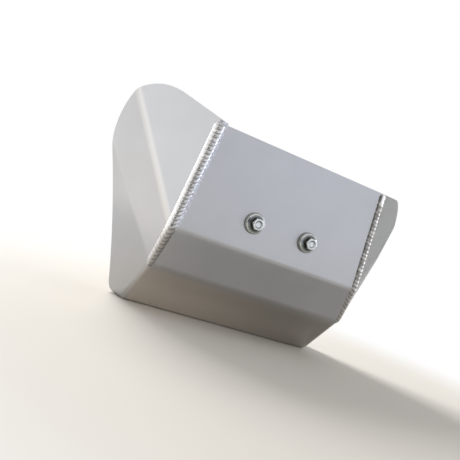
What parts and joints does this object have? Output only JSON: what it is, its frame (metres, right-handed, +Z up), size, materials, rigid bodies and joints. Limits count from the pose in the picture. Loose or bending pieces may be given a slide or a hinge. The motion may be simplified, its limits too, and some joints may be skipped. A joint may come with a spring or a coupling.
{
  "type": "motorcycle skid plate",
  "caption": "Skid plate folded from aluminium sheet: a leaning front face with welded side wings over a flat belly, with front bolts and rear fixing holes.",
  "frame": {"origin": "midway between the two front bolts, on the back of the front face", "axes": "+Y backwards along the motorcycle and along the bolts, +X to the rider's left, +Z up; the belly lies level"},
  "size_m": [0.3155, 0.299, 0.1948],
  "materials": {
    "sheet_aluminium": "satin",
    "weld_aluminium": "rippled, semi-bright",
    "zinc_steel": "zinc plated"
  },
  "bodies": {
    "root": {"skid_plate": "sheet_aluminium", "right_seam_weld": "weld_aluminium", "left_seam_weld": "weld_aluminium", "front_washer_right": "zinc_steel", "front_washer_left": "zinc_steel", "front_bolt_right": "zinc_steel", "front_bolt_left": "zinc_steel"}
  },
  "joints": []
}
